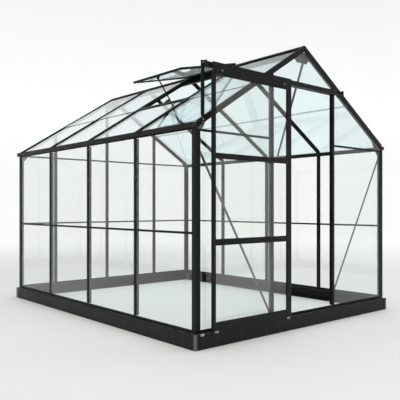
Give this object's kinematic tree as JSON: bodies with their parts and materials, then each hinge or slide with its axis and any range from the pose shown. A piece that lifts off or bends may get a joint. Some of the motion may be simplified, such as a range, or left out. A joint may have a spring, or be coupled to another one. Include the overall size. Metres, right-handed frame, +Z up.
{
  "type": "glass greenhouse",
  "caption": "Glass greenhouse with a slim black aluminium frame on a steel base, apex roof with a propped roof vent, eave gutters and a sliding glazed door hung on a track.",
  "frame": {"origin": "ground level at the centre of the bounding box's foot", "axes": "X runs right along the door gable, Y from the door gable to the rear along the ridge, Z up"},
  "size_m": [1.944, 2.552, 1.896],
  "materials": {
    "black_aluminium": "black powder-coated, satin",
    "base_steel": "anthracite powder-coated, satin",
    "bare_aluminium": "mill finish",
    "clear_glass": "clear, 3 mm",
    "black_plastic": "moulded, matt",
    "nylon": "natural nylon"
  },
  "bodies": {
    "greenhouse": {"base_side_beams": "base_steel", "base_gable_beams": "base_steel", "base_corner_plates": "base_steel", "side_sills": "black_aluminium", "gable_sills": "black_aluminium", "corner_posts": "black_aluminium", "left_wall_bars": "black_aluminium", "right_wall_bars": "black_aluminium", "door_jambs": "black_aluminium", "rear_gable_posts": "black_aluminium", "door_header": "black_aluminium", "left_gutter": "black_aluminium", "right_gutter": "black_aluminium", "ridge_beam": "black_aluminium", "front_rafters": "black_aluminium", "rear_rafters": "black_aluminium", "left_roof_bars": "black_aluminium", "right_roof_bars": "black_aluminium", "wall_joint_strips": "black_aluminium", "gable_joint_strips": "black_aluminium", "vent_frame": "black_aluminium", "vent_hinge": "black_aluminium", "vent_sill": "black_aluminium", "vent_stay": "black_aluminium", "door_track": "black_aluminium", "door_guide_rail": "black_aluminium", "track_strut": "black_aluminium", "gable_braces": "bare_aluminium", "roof_brace": "bare_aluminium", "apex_gussets": "bare_aluminium", "eave_gussets": "bare_aluminium", "left_wall_glass": "clear_glass", "right_wall_glass": "clear_glass", "front_gable_glass": "clear_glass", "rear_gable_glass": "clear_glass", "left_roof_glass": "clear_glass", "right_roof_glass": "clear_glass", "vent_glass": "clear_glass", "end_caps": "black_plastic"},
    "door": {"door_stiles": "black_aluminium", "door_top_rail": "black_aluminium", "door_rails": "black_aluminium", "door_glass": "clear_glass", "door_rollers": "nylon", "door_guides": "nylon"}
  },
  "joints": [
    {"name": "door_slide", "type": "slide", "parent": "greenhouse", "child": "door", "axis": [1, 0, 0], "range_m": [-0.05, 0.523]}
  ]
}
